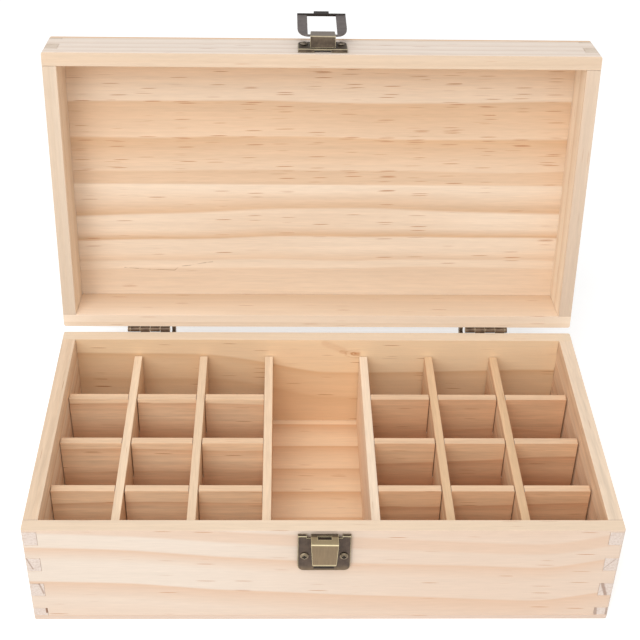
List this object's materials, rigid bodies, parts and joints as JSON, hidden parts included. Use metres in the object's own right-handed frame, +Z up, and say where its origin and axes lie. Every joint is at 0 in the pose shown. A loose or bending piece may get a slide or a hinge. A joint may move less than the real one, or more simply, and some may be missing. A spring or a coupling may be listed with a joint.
{
  "type": "essential oil storage box",
  "caption": "Finger-jointed pine box with a hinged lid, half-lapped bottle partitions around an open middle, stop hinges and a swinging ring latch.",
  "frame": {"origin": "middle of the floor board's underside, on the surface that the box stands on", "axes": "+X along the box to the right as seen from the front, +Y to the back where the hinges are, +Z up"},
  "size_m": [0.3, 0.2468, 0.2386],
  "materials": {
    "pine": "bare sanded pine",
    "pine_partition": "bare sanded pine, thinner boards",
    "antique_bronze": "dark antique bronze plating, worn bright on its edges"
  },
  "bodies": {
    "base": {"base_floor": "pine", "base_front": "pine", "base_back": "pine", "base_left": "pine", "base_right": "pine", "long_partition_left_1": "pine_partition", "long_partition_left_2": "pine_partition", "long_partition_left_3": "pine_partition", "long_partition_right_1": "pine_partition", "long_partition_right_2": "pine_partition", "long_partition_right_3": "pine_partition", "cross_partition_left_1": "pine_partition", "cross_partition_left_2": "pine_partition", "cross_partition_left_3": "pine_partition", "cross_partition_right_1": "pine_partition", "cross_partition_right_2": "pine_partition", "cross_partition_right_3": "pine_partition", "hinge_left_base_leaf": "antique_bronze", "hinge_left_pin": "antique_bronze", "hinge_left_base_screw_1": "antique_bronze", "hinge_left_base_screw_2": "antique_bronze", "hinge_right_base_leaf": "antique_bronze", "hinge_right_pin": "antique_bronze", "hinge_right_base_screw_1": "antique_bronze", "hinge_right_base_screw_2": "antique_bronze", "catch_plate": "antique_bronze", "catch_screw_left": "antique_bronze", "catch_screw_right": "antique_bronze"},
    "lid": {"lid_top": "pine", "lid_front": "pine", "lid_back": "pine", "lid_left": "pine", "lid_right": "pine", "hinge_left_lid_leaf": "antique_bronze", "hinge_left_lid_screw_1": "antique_bronze", "hinge_left_lid_screw_2": "antique_bronze", "hinge_right_lid_leaf": "antique_bronze", "hinge_right_lid_screw_1": "antique_bronze", "hinge_right_lid_screw_2": "antique_bronze", "latch_plate": "antique_bronze", "latch_screw_left": "antique_bronze", "latch_screw_right": "antique_bronze"},
    "ring": {"latch_ring": "antique_bronze"}
  },
  "joints": [
    {"name": "lid_hinge", "type": "hinge", "parent": "base", "child": "lid", "pos_m": [0, 0.08415, 0.0657], "axis": [1, 0, 0], "range_deg": [0, 98.4]},
    {"name": "latch_swing", "type": "hinge", "parent": "lid", "child": "ring", "pos_m": [0, 0.12036, 0.23563], "axis": [1, 0, 0], "range_deg": [0, 175]}
  ]
}
